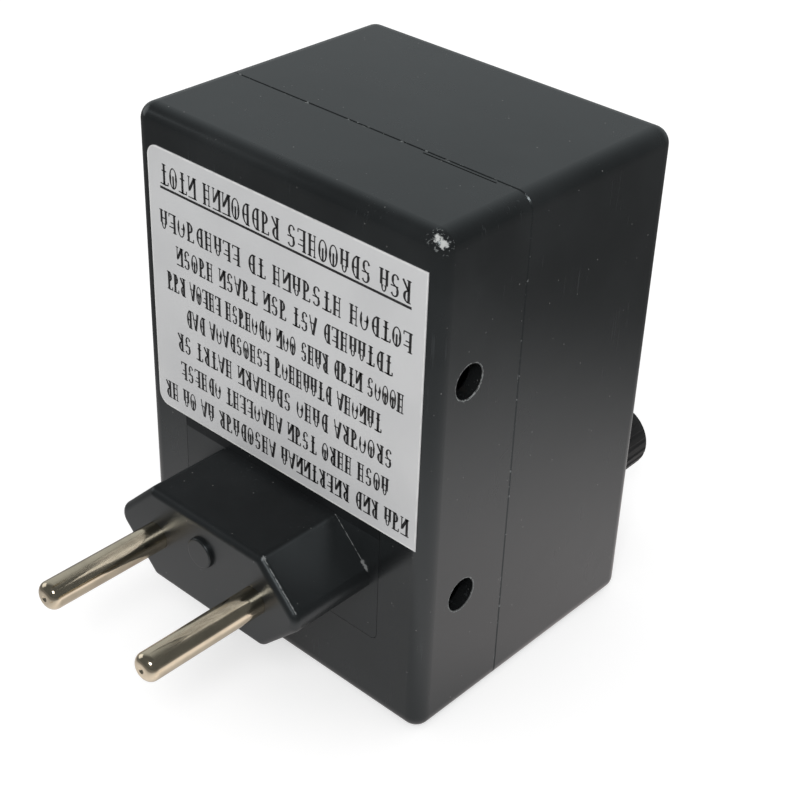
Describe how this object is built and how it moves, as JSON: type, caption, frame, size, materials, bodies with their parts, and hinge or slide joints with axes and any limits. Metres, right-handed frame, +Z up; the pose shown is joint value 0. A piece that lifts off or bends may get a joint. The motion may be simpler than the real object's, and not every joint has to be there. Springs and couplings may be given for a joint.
{
  "type": "plug in dimmer",
  "caption": "Plug-in dimmer: a box that hangs on a wall socket by two round pins, with an outlet and a knob on its front that switches on and sets the power.",
  "frame": {"origin": "middle of the plug's outer face, halfway between the two pins", "axes": "+Y along the pins into the wall socket, +Z up, +X to the right seen from the front"},
  "size_m": [0.053, 0.0921, 0.075],
  "materials": {
    "case_black": "satin moulded black",
    "label_silver": "silver film with dark print",
    "pin_nickel": "nickel plated, slightly warm",
    "outlet_black": "satin moulded black",
    "knob_black": "matt moulded black",
    "pointer_white": "white inlay",
    "contact_brass": "bare brass",
    "screw_steel": "zinc plated",
    "pot_metal": "zinc plated",
    "phenolic": "brown paper laminate",
    "switch_plastic": "black moulding",
    "wiper_nylon": "white nylon",
    "heatsink_aluminium": "extruded, bare",
    "pad_grey": "silicone pad",
    "tab_copper": "tinned copper tab",
    "epoxy_black": "moulded epoxy",
    "film_yellow": "moulded box",
    "film_green": "dipped film",
    "resistor_body": "lacquered",
    "diac_blue": "lacquered",
    "lead_tin": "tinned",
    "wire_black": "pvc insulation",
    "wire_red": "pvc insulation",
    "wire_blue": "pvc insulation",
    "wire_white": "pvc insulation"
  },
  "bodies": {
    "casing": {"board_screws": "screw_steel", "capacitor_leads": "lead_tin", "circuit_board": "phenolic", "diac": "diac_blue", "diac_leads": "lead_tin", "front_shell": "case_black", "heatsink": "heatsink_aluminium", "heatsink_screws": "screw_steel", "insulating_pad": "pad_grey", "outlet_back": "outlet_black", "outlet_back_screw": "screw_steel", "outlet_body": "outlet_black", "outlet_contact_left": "contact_brass", "outlet_contact_right": "contact_brass", "outlet_screws": "screw_steel", "pin_left": "pin_nickel", "pin_right": "pin_nickel", "plug_body": "case_black", "pot_bushing": "pot_metal", "pot_can": "pot_metal", "pot_nut": "pot_metal", "pot_terminals": "lead_tin", "pot_wafer": "phenolic", "pot_washer": "pot_metal", "rating_label": "label_silver", "rear_shell": "case_black", "resistor_leads": "lead_tin", "snubber_capacitor": "film_yellow", "snubber_resistor": "resistor_body", "switch_housing": "switch_plastic", "switch_terminals": "contact_brass", "timing_capacitor": "film_green", "timing_resistor": "resistor_body", "triac_body": "epoxy_black", "triac_bolt": "screw_steel", "triac_leads": "lead_tin", "triac_nut": "screw_steel", "triac_tab": "tab_copper", "wire_live": "wire_black", "wire_load": "wire_red", "wire_neutral": "wire_blue", "wire_pot_a": "wire_white", "wire_pot_b": "wire_white", "wire_switched": "wire_red"},
    "knob_rotor": {"pot_shaft": "pot_metal", "shaft_clip": "screw_steel", "wiper_spring": "contact_brass", "wiper_carrier": "wiper_nylon", "switch_cam": "wiper_nylon", "knob": "knob_black", "knob_pointer": "pointer_white"},
    "switch_rocker": {"switch_rocker": "contact_brass"}
  },
  "joints": [
    {"name": "knob_turn", "type": "hinge", "parent": "casing", "child": "knob_rotor", "pos_m": [-0.0142, -0.065, -0.0066], "axis": [0, 1, 0], "range_deg": [0, 300]},
    {"name": "switch_click", "type": "hinge", "parent": "casing", "child": "switch_rocker", "pos_m": [-0.0142, -0.0456, -0.001], "axis": [0, -1, 0], "range_deg": [0, 11]}
  ]
}
